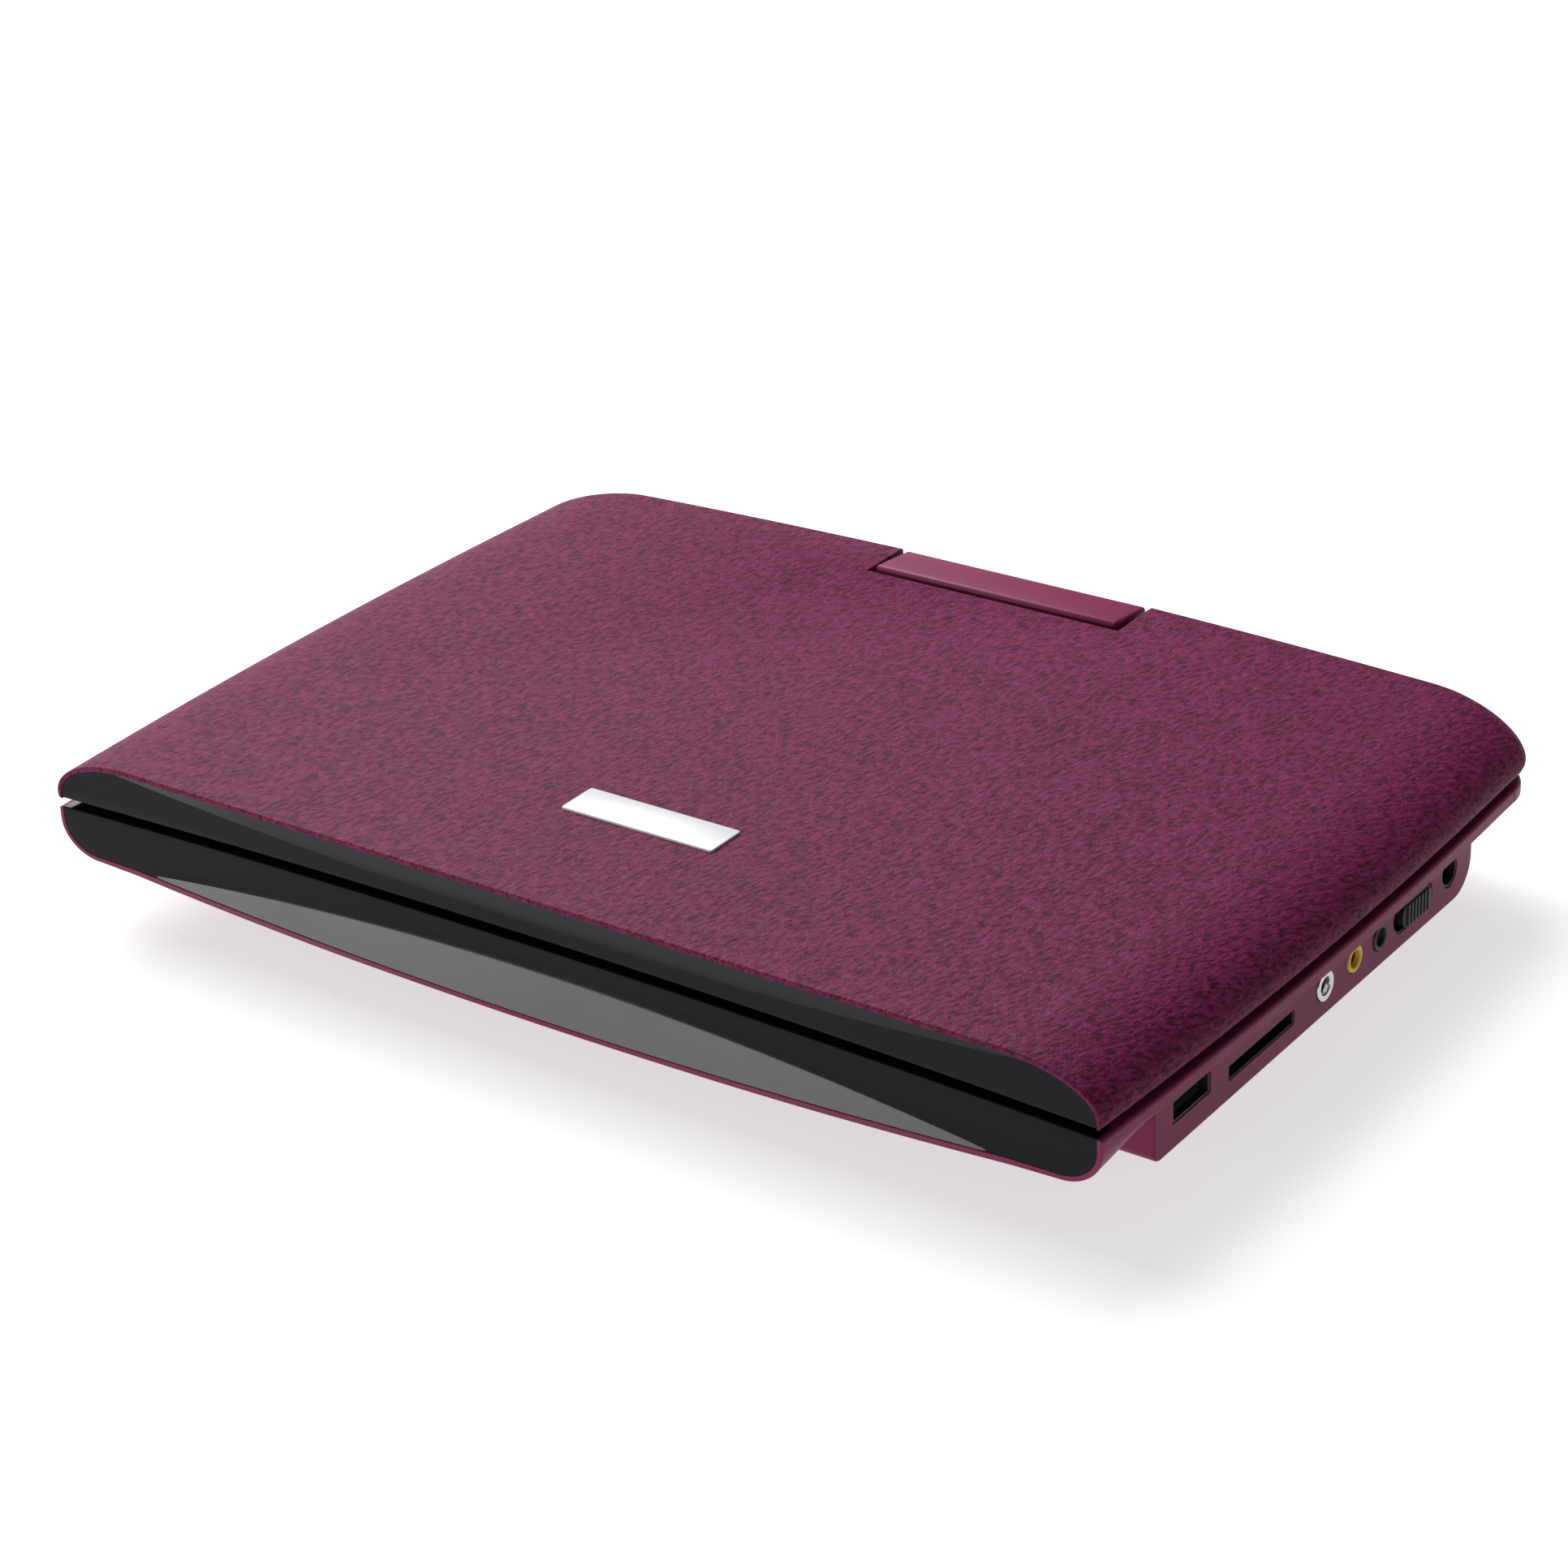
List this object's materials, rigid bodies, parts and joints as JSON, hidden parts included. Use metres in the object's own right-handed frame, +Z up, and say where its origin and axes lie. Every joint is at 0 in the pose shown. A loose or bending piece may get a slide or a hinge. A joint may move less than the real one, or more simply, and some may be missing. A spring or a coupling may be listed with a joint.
{
  "type": "portable dvd player",
  "caption": "Clamshell portable disc player: leather-look screen lid on a rear tilt hinge over a base with disc bay, key deck and side sockets.",
  "frame": {"origin": "middle of the footprint, on the floor under the feet", "axes": "+X to the right seen from the front, front face towards -Y, +Z up; the screen is closed at rest"},
  "size_m": [0.257, 0.176, 0.0379],
  "materials": {
    "plum_shell": "satin moulded plastic",
    "plum_leather": "fine-grained leatherette bonded to the moulding",
    "gloss_black": "polished black plastic",
    "black_plastic": "matt black plastic",
    "yellow_plastic": "glossy",
    "white_label": "satin white label",
    "rubber": "matt",
    "silicone": "soft grey silicone",
    "steel": "bright zinc plate",
    "chrome": "polished",
    "bronze": "sintered bronze",
    "circuit_board": "green solder mask",
    "cell_wrap": "shrink sleeve",
    "display": "dark screen face",
    "lens": "coated optical plastic"
  },
  "bodies": {
    "base": {"base_shell": "plum_shell", "port_panel": "plum_shell", "base_front_trim": "gloss_black", "rear_cover": "plum_shell", "battery_cover": "plum_shell", "rubber_feet": "rubber", "case_screws": "steel", "deck_cover": "black_plastic", "speaker_grilles": "steel", "speakers": "black_plastic", "indicator_window": "gloss_black", "main_board": "circuit_board", "battery_pack": "cell_wrap", "usb_socket": "steel", "card_socket": "black_plastic", "headphone_jack": "chrome", "av_out_jack": "yellow_plastic", "av_in_jack": "black_plastic", "dc_jack": "black_plastic", "power_switch": "steel", "key_board": "circuit_board", "key_membrane": "silicone", "drive_chassis": "steel", "drive_dampers": "rubber", "spindle_motor": "steel", "guide_rods": "chrome", "sled_motor": "steel", "hinge_brackets": "steel"},
    "screen": {"hinge_block": "plum_shell", "hinge_pins": "steel", "swivel_shaft": "steel", "swivel_bush": "bronze", "swivel_plate": "steel", "lid_shell": "plum_leather", "lid_front_trim": "gloss_black", "badge": "white_label", "screen_bezel": "gloss_black", "lcd_panel": "steel", "screen_glass": "display", "screen_board": "circuit_board", "screen_bumpers": "rubber", "screen_screws": "black_plastic"},
    "disc_lid": {"disc_lid": "gloss_black"},
    "open_button": {"open_button": "plum_shell"},
    "power_knob": {"power_knob": "black_plastic"},
    "turntable": {"turntable": "black_plastic"},
    "pickup": {"optical_pickup": "black_plastic", "pickup_lens": "lens"},
    "lead_screw": {"lead_screw": "steel"},
    "ok_key": {"ok_key": "gloss_black"},
    "up_key": {"up_key": "gloss_black"},
    "down_key": {"down_key": "gloss_black"},
    "left_key": {"left_key": "gloss_black"},
    "right_key": {"right_key": "gloss_black"},
    "play_key": {"play_key": "gloss_black"},
    "stop_key": {"stop_key": "gloss_black"},
    "previous_key": {"previous_key": "gloss_black"},
    "next_key": {"next_key": "gloss_black"},
    "menu_key": {"menu_key": "gloss_black"}
  },
  "joints": [
    {"name": "screen_tilt", "type": "hinge", "parent": "base", "child": "screen", "pos_m": [0, 0.086, 0.027], "axis": [-1, 0, 0], "range_deg": [0, 115]},
    {"name": "disc_lid_hinge", "type": "hinge", "parent": "base", "child": "disc_lid", "pos_m": [-0.022, 0.0635, 0.0226], "axis": [-1, 0, 0], "range_deg": [0, 70]},
    {"name": "open_press", "type": "slide", "parent": "base", "child": "open_button", "axis": [0, 0, -1], "range_m": [0, 0.0006], "stiffness_N_per_m": 900},
    {"name": "power_slide", "type": "slide", "parent": "base", "child": "power_knob", "axis": [0, -1, 0], "range_m": [0, 0.0024]},
    {"name": "turntable_spin", "type": "hinge", "parent": "base", "child": "turntable", "pos_m": [-0.022, -0.006, 0.02], "axis": [0, 0, 1], "continuous": true},
    {"name": "pickup_travel", "type": "slide", "parent": "base", "child": "pickup", "axis": [1, 0, 0], "range_m": [0, 0.032]},
    {"name": "lead_screw_spin", "type": "hinge", "parent": "base", "child": "lead_screw", "pos_m": [0.02, -0.033, 0.012], "axis": [1, 0, 0], "range_deg": [-5, 3850]},
    {"name": "ok_press", "type": "slide", "parent": "base", "child": "ok_key", "axis": [0, 0, -1], "range_m": [0, 0.0005], "stiffness_N_per_m": 600},
    {"name": "up_press", "type": "slide", "parent": "base", "child": "up_key", "axis": [0, 0, -1], "range_m": [0, 0.0005], "stiffness_N_per_m": 600},
    {"name": "down_press", "type": "slide", "parent": "base", "child": "down_key", "axis": [0, 0, -1], "range_m": [0, 0.0005], "stiffness_N_per_m": 600},
    {"name": "left_press", "type": "slide", "parent": "base", "child": "left_key", "axis": [0, 0, -1], "range_m": [0, 0.0005], "stiffness_N_per_m": 600},
    {"name": "right_press", "type": "slide", "parent": "base", "child": "right_key", "axis": [0, 0, -1], "range_m": [0, 0.0005], "stiffness_N_per_m": 600},
    {"name": "play_press", "type": "slide", "parent": "base", "child": "play_key", "axis": [0, 0, -1], "range_m": [0, 0.0005], "stiffness_N_per_m": 600},
    {"name": "stop_press", "type": "slide", "parent": "base", "child": "stop_key", "axis": [0, 0, -1], "range_m": [0, 0.0005], "stiffness_N_per_m": 600},
    {"name": "previous_press", "type": "slide", "parent": "base", "child": "previous_key", "axis": [0, 0, -1], "range_m": [0, 0.0005], "stiffness_N_per_m": 600},
    {"name": "next_press", "type": "slide", "parent": "base", "child": "next_key", "axis": [0, 0, -1], "range_m": [0, 0.0005], "stiffness_N_per_m": 600},
    {"name": "menu_press", "type": "slide", "parent": "base", "child": "menu_key", "axis": [0, 0, -1], "range_m": [0, 0.0005], "stiffness_N_per_m": 600}
  ],
  "couplings": [
    {"joint": "disc_lid_hinge", "follows": "screen_tilt", "ratio": 0.6},
    {"joint": "lead_screw_spin", "follows": "pickup_travel", "rad_per_m": 2094.4}
  ]
}
